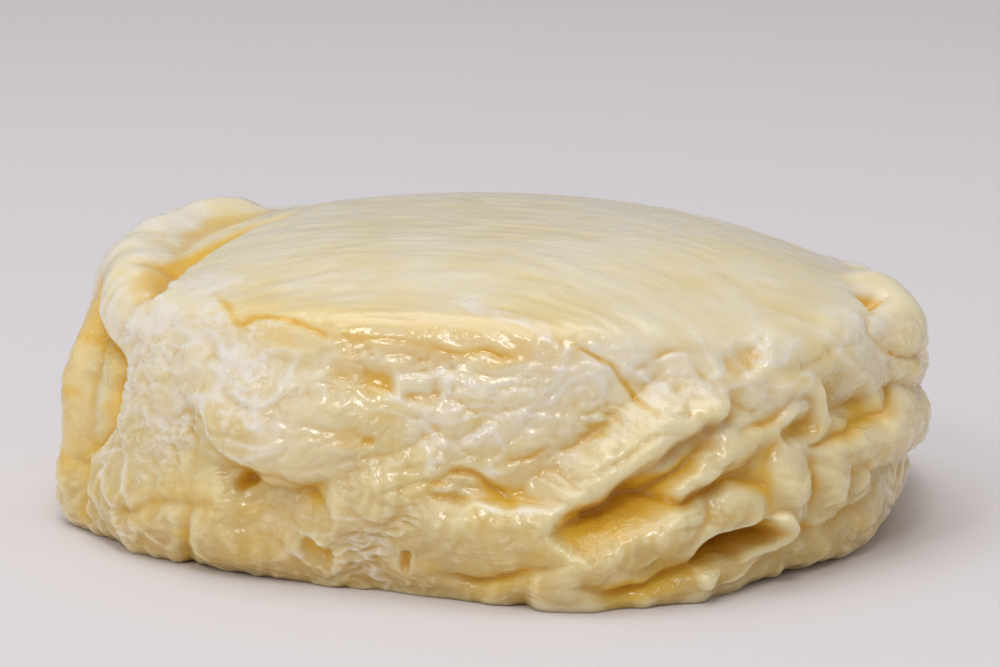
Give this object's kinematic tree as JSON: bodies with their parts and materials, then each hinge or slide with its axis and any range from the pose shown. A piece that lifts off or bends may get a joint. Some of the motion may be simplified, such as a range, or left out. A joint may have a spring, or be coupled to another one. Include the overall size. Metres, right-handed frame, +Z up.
{
  "type": "soft cheese",
  "caption": "Small round of ripe soft cheese, slumped, with a domed wrinkled top, a thick lip of skin on one side and a wall of soft rolls and folds.",
  "frame": {"origin": "under the middle of the round's outline, on the surface that it stands on", "axes": "+Z up through the top, -Y towards the side with the long slanting roll, +X towards the right of that side"},
  "size_m": [0.0766, 0.0736, 0.025],
  "materials": {
    "rind": "moist satin"
  },
  "bodies": {
    "root": {"cheese": "rind"}
  },
  "joints": []
}
